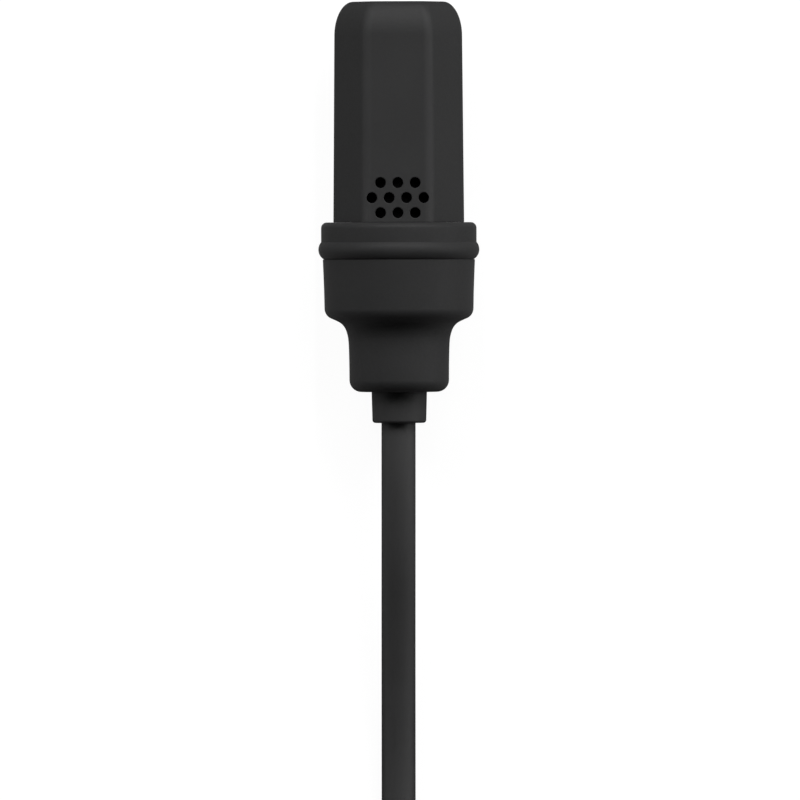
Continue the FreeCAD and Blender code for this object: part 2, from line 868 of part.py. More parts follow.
def make_plug_insert():
    """The moulded insert: four contact holes, a bed for the latch and a screw dimple."""
    section = tube_section("0", "nose_bore", "insert_foot", "insert_head")
    body = turned("plug_insert", section, frame="plug")
    holes = cut_through(body, "contact_holes", "XZ_Plane")
    places = [
        (f"contact_circle * cos({angle}deg)", f"contact_circle * sin({angle}deg)")
        for angle in CONTACT_ANGLES
    ]
    circles(holes, places, "contact_radius")
    bed = cut_through(body, "latch_bed", "XY_Plane", both_ways=False)
    bed.setExpression(".AttachmentOffset.Base.z", bound("latch_bed"))
    bed_head = "insert_head + cut_margin"
    rectangle(bed, "0 - slot_width / 2", "slot_width / 2", "hook_slot_foot", bed_head)
    dimple = cut_through(body, "screw_dimple", "YZ_Plane", both_ways=False)
    dimple.setExpression(".AttachmentOffset.Base.z", bound("screw_inner"))
    circles(dimple, [("screw_height", "0")], "screw_radius")


def make_plug_contacts():
    """Four socket contacts: an open socket at the front and a solder cup at the back."""
    members = []
    for angle in CONTACT_ANGLES:
        name = f"contact_{angle}"
        rod = document.addObject("Part::Cylinder", f"{name}_rod")
        rod.setExpression("Radius", bound("contact_radius"))
        rod.setExpression("Height", bound("contact_head - contact_foot"))
        socket = document.addObject("Part::Cylinder", f"{name}_socket")
        socket.setExpression("Radius", bound("contact_bore"))
        socket.setExpression("Height", bound("cup_floor - contact_foot - contact_web"))
        cup = document.addObject("Part::Cylinder", f"{name}_cup")
        cup.setExpression("Radius", bound("contact_bore"))
        cup.setExpression("Height", bound("contact_head - cup_floor"))
        cup.setExpression(".Placement.Base.z", bound("cup_floor - contact_foot"))
        hollows = document.addObject("Part::MultiFuse", f"{name}_hollows")
        hollows.Shapes = [socket, cup]
        contact = document.addObject("Part::Cut", name)
        contact.Base, contact.Tool = rod, hollows
        contact.Placement.Rotation = FreeCAD.Rotation(FreeCAD.Vector(1, 0, 0), -90)
        contact.setExpression(".Placement.Base.x", bound(f"contact_circle * cos({angle}deg)"))
        contact.setExpression(".Placement.Base.y", bound("contact_foot"))
        contact.setExpression(".Placement.Base.z", bound(f"contact_circle * sin({angle}deg)"))
        members.append(contact)
    compound("socket_contacts", members, "plug")


def make_plug_screw():
    """The slotted screw in the barrel's side that holds the insert."""
    body = new_body("insert_screw", "plug")
    sketch = new_sketch(body, "screw_outline", "YZ_Plane")
    circles(sketch, [("screw_height", "0")], "screw_radius")
    sketch.setExpression(".AttachmentOffset.Base.z", bound("screw_inner"))
    pad = body.newObject("PartDesign::Pad", "screw_pad")
    pad.Profile = sketch
    pad.setExpression("Length", bound("barrel_radius - screw_sink - screw_inner"))
    slot = cut_through(body, "screw_slot", "YZ_Plane", both_ways=False)
    slot_floor = "barrel_radius - screw_sink - screw_slot_depth"
    slot.setExpression(".AttachmentOffset.Base.z", bound(slot_floor))
    foot, head = "screw_height - 2 * screw_radius", "screw_height + 2 * screw_radius"
    rectangle(slot, foot, head, "0 - screw_slot / 2", "screw_slot / 2")


def make_latch():
    """The latch: an arm with a hook at the nose and a push button in the barrel's slot."""
    body = new_body("latch_button", "plug")
    top = "latch_low + latch_thickness"
    hook_foot = "hook_slot_foot + hook_clearance"
    hook_head = f"{hook_foot} + hook_length"
    button_foot = "slot_foot + latch_clearance"
    button_head = "slot_head - latch_clearance"
    arm = new_sketch(body, "latch_side", "YZ_Plane")
    corners = [
        (hook_foot, "latch_low"),
        (button_head, "latch_low"),
        (button_head, top),
        (hook_head, top),
        (hook_head, "hook_height"),
        (f"{hook_foot} + hook_ramp", "hook_height"),
        (hook_foot, top),
    ]
    outline(arm, corners)
    strip = body.newObject("PartDesign::Pad", "latch_arm")
    strip.Profile = arm
    strip.setExpression("Length", bound("latch_width"))
    strip.Midplane = True
    head = new_sketch(body, "button_side", "YZ_Plane")
    corners = [
        (button_foot, "latch_low"),
        (button_head, "latch_low"),
        (button_head, "button_height - button_bevel_height"),
        (f"{button_head} - button_bevel", "button_height"),
        (f"{button_foot} + button_bevel", "button_height"),
        (button_foot, "button_height - button_bevel_height"),
    ]
    outline(head, corners)
    button = body.newObject("PartDesign::Pad", "latch_head")
    button.Profile = head
    button.setExpression("Length", bound("button_width"))
    button.Midplane = True


def make_latch_spring():
    """The bowed leaf spring between the bed in the insert and the latch's arm."""
    body = new_body("latch_spring", "plug")
    leaf = new_sketch(body, "leaf_side", "YZ_Plane")
    corners = [
        ("spring_foot", "latch_bed"),
        ("spring_head", "latch_bed"),
        ("spring_head", "latch_bed + spring_thickness"),
        ("spring_foot", "latch_bed + spring_thickness"),
    ]
    outline(leaf, corners, {0: "-spring_curve", 2: "spring_curve"})
    pad = body.newObject("PartDesign::Pad", "leaf")
    pad.Profile = leaf
    pad.setExpression("Length", bound("spring_width"))
    pad.Midplane = True


def make_boot():
    """The ribbed bend relief: a shank in the barrel, a flange and a tapering ribbed tail."""
    corners = [
        ("boot_bore", "boot_shank"),
        ("barrel_bore", "boot_shank"),
        ("barrel_bore", "barrel_end"),
        ("boot_flange_radius", "barrel_end"),
        ("boot_flange_radius", "boot_flange_head"),
        ("boot_root_radius", "boot_flange_head"),
    ]
    ribs = int(DIMENSIONS["boot_rib_count"])
    pitch = "(plug_length - boot_rib_foot - boot_tip_length) / boot_rib_count"
    taper = "(boot_root_radius - boot_tip_radius) / (plug_length - boot_flange_head)"
    for rib in range(ribs):
        foot = f"boot_rib_foot + {rib} * {pitch}"
        head = f"{foot} + boot_rib_share * {pitch}"
        for height, depth in ((foot, 0), (foot, 1), (head, 1), (head, 0)):
            surface = f"boot_root_radius - {taper} * ({height} - boot_flange_head)"
            corners.append((f"{surface} - {depth} * boot_rib_depth", height))
    corners += [
        ("boot_tip_radius", "plug_length"),
        ("cable_radius", "plug_length"),
        ("cable_radius", "clamp_head"),
        ("boot_bore", "clamp_head"),
    ]
    turned("plug_boot", corners, frame="plug")


def make_plug_cable_end():
    """The end of the cable inside the connector, its clamp and the conductors."""
    jacket = tube_section("0", "cable_radius", "plug_jacket_end", "plug_length")
    turned("plug_jacket_end", jacket, frame="plug")
    clamp = tube_section("cable_radius", "boot_bore", "clamp_foot", "clamp_head")
    turned("cable_clamp", clamp, frame="plug")

    cup_end = "cup_floor + conductor_gap"
    stations = (
        ("conductor_circle", "plug_jacket_end"),
        ("conductor_circle", "plug_jacket_end - conductor_foot_run"),
        ("contact_circle", f"{cup_end} + conductor_head_run"),
        ("contact_circle", cup_end),
    )
    stations = [(number(circle), number(height)) for circle, height in stations]
    turn = FreeCAD.Rotation(FreeCAD.Vector(0, 0, 1), number("plug_turn"))
    base = FreeCAD.Vector(number("plug_x"), number("plug_y"), number("barrel_radius"))
    shapes = []
    for angle in CONTACT_ANGLES[:3]:
        cosine, sine = math.cos(math.radians(angle)), math.sin(math.radians(angle))
        route = [FreeCAD.Vector(r * cosine, y, r * sine) for r, y in stations]
        route = [base + turn.multVec(point) for point in route]
        shape, _, _ = round_tube(route, number("conductor_radius"))
        shapes.append(shape)
    feature("plug_conductors", Part.makeCompound(shapes))


def check_objects():
    """Stop if any object failed or any sub-part's shape is missing or broken."""
    for item in document.Objects:
        if "Invalid" in item.State or "Error" in item.State:
            raise RuntimeError(f"{item.Label} failed: {item.State}")
    for item in sub_parts:
        if item.Shape.isNull() or not item.Shape.isValid() or not item.Shape.Solids:
            raise RuntimeError(f"{item.Label} has no valid solid")


def export_parts():
    """Write each sub-part to its own file."""
    os.makedirs("parts", exist_ok=True)
    for item in sub_parts:
        item.Shape.exportStep(f"parts/{item.Label}.step")
        box, count = item.Shape.BoundBox, len(item.Shape.Solids)
        print(f"{item.Label:20s} {count} solid(s), {item.Shape.Volume:9.3f} mm3, "
              f"y {box.YMin:8.3f} to {box.YMax:8.3f}, z {box.ZMin:6.3f} to {box.ZMax:6.3f}")


make_cap()
make_cap_screens()
make_body_shell()
make_strain_relief()
make_cable_anchor()
make_chassis()
make_cap_seal()
make_capsule()
make_wires()
make_cable()
make_plug_shell()
make_plug_insert()
make_plug_contacts()
make_plug_screw()
make_latch()
make_latch_spring()
make_boot()
make_plug_cable_end()
document.recompute()
check_objects()
export_parts()
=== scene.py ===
"""A miniature lavalier microphone with its coiled cable and locking connector, on a pale floor.

Profiles and places are in millimetres, in each piece's own frame: the microphone's Y runs from the
sleeve's free end to the cap's closed end, the connector's Y from its nose to its boot. Z is up.
The cable's route and its coil are in metres, in the CAD's frame.
"""
import json
import math

import bmesh
import bpy
from mathutils import Matrix, Vector


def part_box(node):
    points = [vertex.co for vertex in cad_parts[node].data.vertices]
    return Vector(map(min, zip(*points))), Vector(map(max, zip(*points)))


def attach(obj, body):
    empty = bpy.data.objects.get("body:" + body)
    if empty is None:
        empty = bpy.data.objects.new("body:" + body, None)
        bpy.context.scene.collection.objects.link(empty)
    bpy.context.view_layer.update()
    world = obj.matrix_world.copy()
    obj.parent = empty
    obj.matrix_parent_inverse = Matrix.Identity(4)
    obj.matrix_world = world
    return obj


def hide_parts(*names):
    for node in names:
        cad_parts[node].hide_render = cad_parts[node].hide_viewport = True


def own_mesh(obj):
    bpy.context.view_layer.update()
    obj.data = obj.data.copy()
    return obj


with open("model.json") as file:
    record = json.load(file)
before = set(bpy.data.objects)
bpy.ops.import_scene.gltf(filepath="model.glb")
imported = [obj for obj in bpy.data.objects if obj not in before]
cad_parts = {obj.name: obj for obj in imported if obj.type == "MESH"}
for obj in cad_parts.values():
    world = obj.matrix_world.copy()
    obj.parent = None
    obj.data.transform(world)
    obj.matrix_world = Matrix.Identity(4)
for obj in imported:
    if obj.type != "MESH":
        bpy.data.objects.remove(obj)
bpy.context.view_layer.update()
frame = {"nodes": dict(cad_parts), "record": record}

MM = 0.001

# ------------------------------------------------------------------ places taken from the frame

shell_low, shell_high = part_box("body_shell")
AXIS_HEIGHT = (shell_low.z + shell_high.z) / 2
HEAD_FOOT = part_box("strain_relief")[0].y
HEAD_LENGTH = (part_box("grille_cap")[1].y - HEAD_FOOT) / MM
HEAD = Matrix.Translation((0, HEAD_FOOT, AXIS_HEIGHT))

nose_mount = next(m for m in frame["record"]["mounts"] if m["name"] == "connector_nose")
NOSE_MOUNT_HEIGHT = 1.3
plug_forward = -Vector(nose_mount["axis"]).normalized()
PLUG_TURN = math.atan2(-plug_forward.x, plug_forward.y)
plug_base = Vector(nose_mount["pos_m"]) - plug_forward * NOSE_MOUNT_HEIGHT * MM
PLUG = Matrix.Translation(plug_base) @ Matrix.Rotation(PLUG_TURN, 4, "Z")

coil_low, coil_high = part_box("cable_coil")
COIL_CENTRE = (coil_low + coil_high) / 2
TIE_TURN = math.radians(-45)

# ------------------------------------------------------------------ camera, floor and light

SENSOR_WIDTH = 36
LENS_DISTANCE = 0.8
VIEW_WIDTH = 37.5 * MM
VIEW_CENTRE = Vector((0.059 * MM, -8.838 * MM, AXIS_HEIGHT))
VIEW_LEAN = Vector((0.0160, 0.0105, 1.0))
VIEW_ROLL = -0.003
LIGHT_DISTANCE = 0.8
STAGE_RADIUS = 2.8
STAGE_STEPS = 96
DOME_RINGS = 24
GLOW_HEIGHT = 0.01 * MM
GLOW_GAP = 4 * MM
GLOW_GAP_LENGTH = 30 * MM


def make_camera():
    """A long lens above the microphone, a degree off the vertical.

    It stands along VIEW_LEAN from VIEW_CENTRE, and VIEW_ROLL, in radians, turns it about Z.
    """
    data = bpy.data.cameras.new("camera")
    data.sensor_width = SENSOR_WIDTH
    data.lens = SENSOR_WIDTH * LENS_DISTANCE / VIEW_WIDTH
    data.clip_start = 0.01
    data.clip_end = 20
    camera = bpy.data.objects.new("camera", data)
    camera.location = VIEW_CENTRE + VIEW_LEAN * LENS_DISTANCE
    camera.rotation_euler = (-VIEW_LEAN.y, VIEW_LEAN.x, VIEW_ROLL)
    bpy.context.scene.collection.objects.link(camera)
    bpy.context.scene.camera = camera


def make_light(name, azimuth, elevation, power, width=0.45, height=0.45):
    """A softbox aimed at the origin; azimuth 90 is beyond the cap's closed end."""
    turn = math.radians(azimuth)
    lift = math.radians(elevation)
    reach = math.cos(lift)
    towards = Vector((reach * math.cos(turn), reach * math.sin(turn), math.sin(lift)))
    data = bpy.data.lights.new(name, "AREA")
    data.shape = "RECTANGLE"
    data.size = width
    data.size_y = height
    data.energy = power
    light = bpy.data.objects.new(name, data)
    light.location = towards * LIGHT_DISTANCE
    light.rotation_mode = "QUATERNION"
    light.rotation_quaternion = towards.to_track_quat("Z", "Y")
    light.visible_camera = False
    bpy.context.scene.collection.objects.link(light)


def make_lights():
    """Soft light from beyond the cap, low light from both sides and a little at the connector."""
    make_light("cap_end_light", 90, 42, 0.5)
    make_light("right_key_light", 60, 42, 3.5)
    make_light("left_key_light", 120, 42, 2.5)
    make_light("right_light", 8, 12, 1.93)
    make_light("left_light", 172, 12, 0.77)
    make_light("connector_end_light", -78, 4, 0.5, width=0.5, height=0.08)
    world = bpy.data.worlds.new("studio")
    world.use_nodes = True
    background = world.node_tree.nodes["Background"]
    background.inputs["Color"].default_value = (1, 1, 1, 1)
    background.inputs["Strength"].default_value = 0.01
    bpy.context.scene.world = world


def make_stage():
    """A pale floor, a pale backdrop behind it, and the glow the floor casts on the pieces.

    The glow leaves a gap under the microphone, where the real floor is in its shadow.
    """
    floor = bmesh.new()
    bmesh.ops.create_circle(floor, cap_ends=True, radius=STAGE_RADIUS, segments=STAGE_STEPS)
    dome = bmesh.new()
    rows = []
    for ring in range(DOME_RINGS):
        tilt = math.radians(90) * ring / DOME_RINGS
        height = STAGE_RADIUS * math.sin(tilt)
        reach = STAGE_RADIUS * math.cos(tilt)
        row = []
        for step in range(STAGE_STEPS):
            angle = 2 * math.pi * step / STAGE_STEPS
            row.append(dome.verts.new((reach * math.cos(angle), reach * math.sin(angle), height)))
        rows.append(row)
    for lower, upper in zip(rows, rows[1:]):
        skin(dome, lower, upper)
    fan(dome, dome.verts.new((0, 0, STAGE_RADIUS)), rows[-1])
    glows = []
    for left, right, near, far in (
        (-STAGE_RADIUS, -GLOW_GAP, -STAGE_RADIUS, STAGE_RADIUS),
        (GLOW_GAP, STAGE_RADIUS, -STAGE_RADIUS, STAGE_RADIUS),
        (-GLOW_GAP, GLOW_GAP, -STAGE_RADIUS, -GLOW_GAP_LENGTH),
        (-GLOW_GAP, GLOW_GAP, GLOW_GAP_LENGTH, STAGE_RADIUS),
    ):
        glow = bmesh.new()
        corners = ((left, near), (right, near), (right, far), (left, far))
        glow.faces.new([glow.verts.new((x, y, GLOW_HEIGHT)) for x, y in corners])
        glows.append(glow)
    for name, shape, colour, emission in (
        ("floor", floor, 0.15, 0.93),
        ("backdrop", dome, 0.0, 0.98),
        ("left_glow", glows[0], 0.0, 0.225),
        ("right_glow", glows[1], 0.0, 0.23),
        ("near_glow", glows[2], 0.0, 0.225),
        ("far_glow", glows[3], 0.0, 0.225),
    ):
        paint = Paint(name + "_paint")
        paint.shader.inputs["Base Color"].default_value = (colour, colour, colour, 1)
        paint.shader.inputs["Roughness"].default_value = 0.9
        paint.shader.inputs["Specular IOR Level"].default_value = 0.0
        paint.shader.inputs["Emission Color"].default_value = (1, 1, 1, 1)
        paint.shader.inputs["Emission Strength"].default_value = emission
        mesh = bpy.data.meshes.new(name)
        shape.to_mesh(mesh)
        shape.free()
        mesh.materials.append(paint.material)
        piece = bpy.data.objects.new(name, mesh)
        bpy.context.scene.collection.objects.link(piece)
        is_glow = name.endswith("glow")
        piece.visible_camera = not is_glow
        piece.visible_glossy = is_glow
        piece.visible_diffuse = is_glow
        piece.visible_shadow = name == "floor"


# ------------------------------------------------------------------ materials

DRIFT_GRAIN = 2.5
GLOSS_DRIFT = 0.03
COAT_ROUGHNESS = 0.55
WIRE_COLOUR = (0.004, 0.004, 0.004)
WIRE_PITCH = 0.09


class Paint:
    """A material, its shader and short ways to add nodes to it."""

    def __init__(self, name):
        self.material = bpy.data.materials.new(name)
        self.material.use_nodes = True
        self.nodes = self.material.node_tree.nodes
        self.links = self.material.node_tree.links
        self.shader = self.nodes["Principled BSDF"]
        self.coordinates = self.nodes.new("ShaderNodeTexCoord").outputs["Object"]

    def link(self, source, target):
        """Join an output to an input."""
        self.links.new(source, target)

    def stretched(self, scale):
        """The object's coordinates, in metres, scaled on each axis."""
        mapping = self.nodes.new("ShaderNodeMapping")
        mapping.inputs["Scale"].default_value = scale
        self.link(self.coordinates, mapping.inputs["Vector"])
        return mapping.outputs["Vector"]

    def noise(self, grain, detail=3.0, coordinates=None):
        """Noise whose lumps are about as large as the grain, in millimetres."""
        texture = self.nodes.new("ShaderNodeTexNoise")
        texture.inputs["Scale"].default_value = 1 / (grain * MM)
        texture.inputs["Detail"].default_value = detail
        self.link(coordinates or self.coordinates, texture.inputs["Vector"])
        return texture.outputs["Fac"]

    def waves(self, pitch, axis):
        """Bands across an axis at a pitch in millimetres."""
        texture = self.nodes.new("ShaderNodeTexWave")
        texture.bands_direction = axis
        texture.wave_profile = "SIN"
        texture.inputs["Scale"].default_value = math.pi / (10 * pitch * MM)
        self.link(self.coordinates, texture.inputs["Vector"])
        return texture.outputs["Fac"]

    def spread(self, source, low, high, from_low=0.3, from_high=0.7):
        """A texture's value carried onto a range of numbers."""
        node = self.nodes.new("ShaderNodeMapRange")
        node.inputs["From Min"].default_value = from_low
        node.inputs["From Max"].default_value = from_high
        node.inputs["To Min"].default_value = low
        node.inputs["To Max"].default_value = high
        self.link(source, node.inputs["Value"])
        return node.outputs["Result"]

    def both(self, first, second, operation="MULTIPLY"):
        """Two values put together by a math node's operation."""
        node = self.nodes.new("ShaderNodeMath")
        node.operation = operation
        self.link(first, node.inputs[0])
        self.link(second, node.inputs[1])
        return node.outputs["Value"]

    def crease_highlight(self, sides, inner, outer, lightening):
        """A factor for colour, more than 1 along each crease of a prism about the object's Y.

        The lighter colour there is a painted highlight. It fades in between two distances from that
        axis, in millimetres, and is 1 away from each crease.
        """
        parts = self.nodes.new("ShaderNodeSeparateXYZ")
        self.link(self.coordinates, parts.inputs["Vector"])
        turn = self.both(parts.outputs["X"], parts.outputs["Z"], "ARCTAN2")
        turns = self.nodes.new("ShaderNodeMath")
        turns.operation = "MULTIPLY"
        turns.inputs[1].default_value = sides
        self.link(turn, turns.inputs[0])
        wave = self.nodes.new("ShaderNodeMath")
        wave.operation = "COSINE"
        self.link(turns.outputs["Value"], wave.inputs[0])
        length = self.nodes.new("ShaderNodeVectorMath")
        length.operation = "LENGTH"
        self.link(self.stretched((1, 0, 1)), length.inputs[0])
        near = self.spread(wave.outputs["Value"], lightening, 0.0, -1.0, -0.8)
        far = self.spread(length.outputs["Value"], 0.0, 1.0, inner * MM, outer * MM)
        share = self.nodes.new("ShaderNodeMath")
        share.operation = "ADD"
        share.inputs[1].default_value = 1.0
        self.link(self.both(near, far), share.inputs[0])
        return share.outputs["Value"]

    def scaled(self, colour, factor):
        """A colour made lighter or darker by a texture's value."""
        node = self.nodes.new("ShaderNodeVectorMath")
        node.operation = "SCALE"
        self.link(colour, node.inputs[0])
        self.link(factor, node.inputs["Scale"])
        return node.outputs["Vector"]

    def shades(self, source, dark, light):
        """A texture's value carried onto two colours."""
        ramp = self.nodes.new("ShaderNodeValToRGB")
        ramp.color_ramp.elements[0].position = 0.3
        ramp.color_ramp.elements[1].position = 0.7
        ramp.color_ramp.elements[0].color = (*dark, 1)
        ramp.color_ramp.elements[1].color = (*light, 1)
        self.link(source, ramp.inputs["Fac"])
        return ramp.outputs["Color"]

    def bump(self, source, depth):
        """Relief of a depth in millimetres."""
        node = self.nodes.new("ShaderNodeBump")
        node.inputs["Strength"].default_value = 1.0
        node.inputs["Distance"].default_value = depth * MM
        self.link(source, node.inputs["Height"])
        return node.outputs["Normal"]


def tinted(colour, factor):
    """A colour times a factor, no brighter than white."""
    return tuple(min(1.0, channel * factor) for channel in colour)


def moulded(name, colour, roughness, grain=0.12, depth=0.004, contrast=0.08,
            specular=0.5, metallic=0.0, sheen=0.0, coat=0.0, crease_highlight=None):
    """A surface with a fine grain, a slow drift of colour and gloss, and a painted highlight along
    each crease if asked for.
    """
    paint = Paint(name)
    shader = paint.shader
    drift = paint.noise(DRIFT_GRAIN, 2.0)
    fine = paint.noise(grain, 4.0)
    colours = paint.shades(drift, tinted(colour, 1 - contrast), tinted(colour, 1 + contrast))
    # The crease factor lightens the colour along each crease: a painted highlight.
    if crease_highlight:
        colours = paint.scaled(colours, paint.crease_highlight(*crease_highlight))
    paint.link(colours, shader.inputs["Base Color"])
    gloss = paint.both(
        paint.spread(drift, roughness - GLOSS_DRIFT, roughness + GLOSS_DRIFT),
        paint.spread(fine, -GLOSS_DRIFT, GLOSS_DRIFT),
        "ADD",
    )
    paint.link(gloss, shader.inputs["Roughness"])
    paint.link(paint.bump(fine, depth), shader.inputs["Normal"])
    shader.inputs["Specular IOR Level"].default_value = specular
    shader.inputs["Metallic"].default_value = metallic
    shader.inputs["Sheen Weight"].default_value = sheen
    shader.inputs["Coat Weight"].default_value = coat
    shader.inputs["Coat Roughness"].default_value = COAT_ROUGHNESS
    return paint.material


def turned_metal(name, colour, roughness, depth=0.0008, metallic=1.0):
    """Metal with fine tool marks around the Y axis."""
    paint = Paint(name)
    shader = paint.shader
    marks = paint.noise(0.06, 3.0, paint.stretched((0.05, 1.0, 0.05)))
    drift = paint.noise(1.5, 2.0)
    colours = paint.shades(drift, tinted(colour, 0.93), tinted(colour, 1.05))
    paint.link(colours, shader.inputs["Base Color"])
    paint.link(paint.spread(marks, roughness - 0.08, roughness + 0.08), shader.inputs["Roughness"])
    paint.link(paint.bump(marks, depth), shader.inputs["Normal"])
    shader.inputs["Metallic"].default_value = metallic
    return paint.material


def woven(name, across, along):
    """A plain weave of dull dark wires on two of the object's axes."""
    paint = Paint(name)
    shader = paint.shader
    weave = paint.both(paint.waves(WIRE_PITCH, across), paint.waves(WIRE_PITCH, along))
    colours = paint.shades(weave, tinted(WIRE_COLOUR, 0.35), tinted(WIRE_COLOUR, 1.25))
    paint.link(colours, shader.inputs["Base Color"])
    paint.link(paint.spread(weave, 1.0, 0.8), shader.inputs["Roughness"])
    paint.link(paint.bump(weave, 0.02), shader.inputs["Normal"])
    shader.inputs["Specular IOR Level"].default_value = 0.1
    return paint.material


def looped(name, colour):
    """The short loops of a hook and loop strap or a felt."""
    paint = Paint(name)
    shader = paint.shader
    loops = paint.noise(0.16, 5.0)
    tufts = paint.noise(0.5, 2.0)
    pile = paint.both(loops, tufts)
    colours = paint.shades(loops, tinted(colour, 0.5), tinted(colour, 1.6))
    paint.link(colours, shader.inputs["Base Color"])
    paint.link(paint.spread(tufts, 0.8, 0.95), shader.inputs["Roughness"])
    paint.link(paint.bump(pile, 0.12), shader.inputs["Normal"])
    shader.inputs["Specular IOR Level"].default_value = 0.2
    shader.inputs["Sheen Weight"].default_value = 0.3
    shader.inputs["Sheen Roughness"].default_value = 0.5
    return paint.material


# ------------------------------------------------------------------ mesh helpers

SHARP_ANGLE = math.radians(35)


def arc(start, end, radius, steps):
    """Points after start up to end on an arc whose centre is left of the chord if radius > 0."""
    chord = Vector(end) - Vector(start)
    across = Vector((-chord.y, chord.x)).normalized()
    side = math.copysign(1, radius)
    rise = math.sqrt(max(radius**2 - chord.length_squared / 4, 0))
    centre = (Vector(start) + Vector(end)) / 2 + across * rise * side
    first, last = Vector(start) - centre, Vector(end) - centre
    sweep = first.angle_signed(last, 0)
    points = []
    for step in range(1, steps + 1):
        turn = Matrix.Rotation(-sweep * step / steps, 2)
        points.append(tuple(centre + turn @ first))
    return points


def softened(corners, steps=5):
    """A closed outline with each corner (x, y, radius) rounded to its radius."""
    points = []
    count = len(corners)
    for index, (x, y, radius) in enumerate(corners):
        corner = Vector((x, y))
        before = Vector(corners[index - 1][:2]) - corner
        after = Vector(corners[(index + 1) % count][:2]) - corner
        if radius == 0:
            points.append((x, y))
            continue
        half = before.angle(after) / 2
        reach = min(radius / math.tan(half), 0.49 * before.length, 0.49 * after.length)
        radius = reach * math.tan(half)
        start = corner + before.normalized() * reach
        end = corner + after.normalized() * reach
        cross = before.x * after.y - before.y * after.x
        points.append(tuple(start))
        points += arc(start, end, math.copysign(radius, -cross), steps)
    return points


def new_piece(name, shape, placement):
    """An object made from a bmesh that is in millimetres, in a piece's own frame."""
    bmesh.ops.recalc_face_normals(shape, faces=shape.faces)
    bmesh.ops.scale(shape, vec=(MM, MM, MM), verts=shape.verts)
    mesh = bpy.data.meshes.new(name)
    shape.to_mesh(mesh)
    shape.free()
    piece = bpy.data.objects.new(name, mesh)
    bpy.context.scene.collection.objects.link(piece)
    piece.matrix_world = placement
    return piece


def skin(shape, lower, upper):
    """Join two rings of as many points with a band of faces."""
    for index in range(len(lower)):
        following = (index + 1) % len(lower)
        shape.faces.new((lower[index], lower[following], upper[following], upper[index]))


def fan(shape, tip, ring):
    """Join a ring of points to one point."""
    for index in range(len(ring)):
        shape.faces.new((tip, ring[index], ring[(index + 1) % len(ring)]))


def lathe(name, profile, placement, segments):
    """A profile of (radius, height) points turned about Y: a loop, or open from axis to axis."""
    shape = bmesh.new()
    angles = [2 * math.pi * step / segments for step in range(segments)]
    rings = []
    for radius, height in profile:
        places = [(radius * math.sin(angle), height, radius * math.cos(angle)) for angle in angles]
        if radius == 0:
            places = [(0, height, 0)]
        rings.append([shape.verts.new(place) for place in places])
    pairs = list(zip(rings, rings[1:]))
    if len(rings[0]) > 1:
        pairs.append((rings[-1], rings[0]))
    for lower, upper in pairs:
        if len(lower) == 1:
            fan(shape, lower[0], upper)
        elif len(upper) == 1:
            fan(shape, upper[0], lower)
        else:
            skin(shape, lower, upper)
    return new_piece(name, shape, placement)


def solid(name, first, last, placement):
    """A piece between two outlines of as many (x, y, z) points, closed by both."""
    shape = bmesh.new()
    lower = [shape.verts.new(point) for point in first]
    upper = [shape.verts.new(point) for point in last]
    shape.faces.new(lower)
    shape.faces.new(upper)
    skin(shape, lower, upper)
    return new_piece(name, shape, placement)


def prism(name, outline, half_width, placement):
    """An outline of (y, z) points made solid across X."""
    near = [(-half_width, y, z) for y, z in outline]
    far = [(half_width, y, z) for y, z in outline]
    return solid(name, near, far, placement)


def plate(name, outline, foot, head, placement):
    """An outline of (x, y) points made solid from one height to another."""
    bottom = [(x, y, foot) for x, y in outline]
    top = [(x, y, head) for x, y in outline]
    return solid(name, bottom, top, placement)


def cut_opening(piece, name, half_width, start, end, corner):
    """Cut a rounded opening in a piece's top, between two places along Y."""
    corners = [
        (-half_width, start, corner),
        (half_width, start, corner),
        (half_width, end, corner),
        (-half_width, end, corner),
    ]
    cut(piece, plate(name, softened(corners), OPENING_FOOT, OPENING_HEAD, PLUG))


def bake(piece):
    """Make the piece's modifiers part of its mesh."""
    graph = bpy.context.evaluated_depsgraph_get()
    mesh = bpy.data.meshes.new_from_object(piece.evaluated_get(graph))
    piece.modifiers.clear()
    piece.data = mesh


def cut(piece, cutter):
    """Take one piece out of another."""
    modifier = piece.modifiers.new("cut", "BOOLEAN")
    modifier.operation = "DIFFERENCE"
    modifier.solver = "EXACT"
    modifier.object = cutter
    bake(piece)
    bpy.data.objects.remove(cutter)


def bevel(piece, width, segments=3, angle=30):
    """Round a piece's edges that are sharper than an angle."""
    modifier = piece.modifiers.new("bevel", "BEVEL")
    modifier.width = width * MM
    modifier.segments = segments
    modifier.limit_method = "ANGLE"
    modifier.angle_limit = math.radians(angle)
    bake(piece)


def dress(piece, paint, body, replaced):
    """Shade a piece, give it its material, tie it to its body, and hide the CAD nodes it replaces.
    """
    mesh = piece.data
    for face in mesh.polygons:
        face.use_smooth = True
    mesh.set_sharp_from_angle(angle=SHARP_ANGLE)
    mesh.materials.clear()
    mesh.materials.append(paint)
    modifier = piece.modifiers.new("normals", "WEIGHTED_NORMAL")
    modifier.keep_sharp = True
    modifier.weight = 50
    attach(piece, body)
    if replaced:
        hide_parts(*replaced)
    return piece


# ------------------------------------------------------------------ the cap

CAP_FOOT = 9.404
CAP_FOOT_APOTHEM = 2.722
CAP_APOTHEM = 2.662
CAP_CORNER = 0.5
CAP_CORNER_STEPS = 12
CAP_EDGE = 0.02
CAP_BORE = 2.25
CAP_ROOF = 0.6
SHOULDER_DROP = 1.6
CAP_WAIST = HEAD_LENGTH - SHOULDER_DROP
SHOULDER_INSET = 0.77
SHOULDER_STEPS = 20
HOLE_RADIUS = 0.25
HOLE_CHAMFER = 0.03
HOLE_STEPS = 32
SIDE_HOLE_DEPTH = 1.3
SIDE_HOLE_PITCH = 0.811
SIDE_HOLE_ROW_PITCH = 0.7035
SIDE_HOLE_ROWS = ((1, 3), (0, 4), (-1, 3))
MIDDLE_ROW = 10.548
END_HOLE_DEPTH = 1.0
END_HOLE_PITCH = 0.76
END_HOLE_CIRCLES = ((1, 0), (2, 0), (math.sqrt(3), 30))
SCREEN_FOOT = 9.54
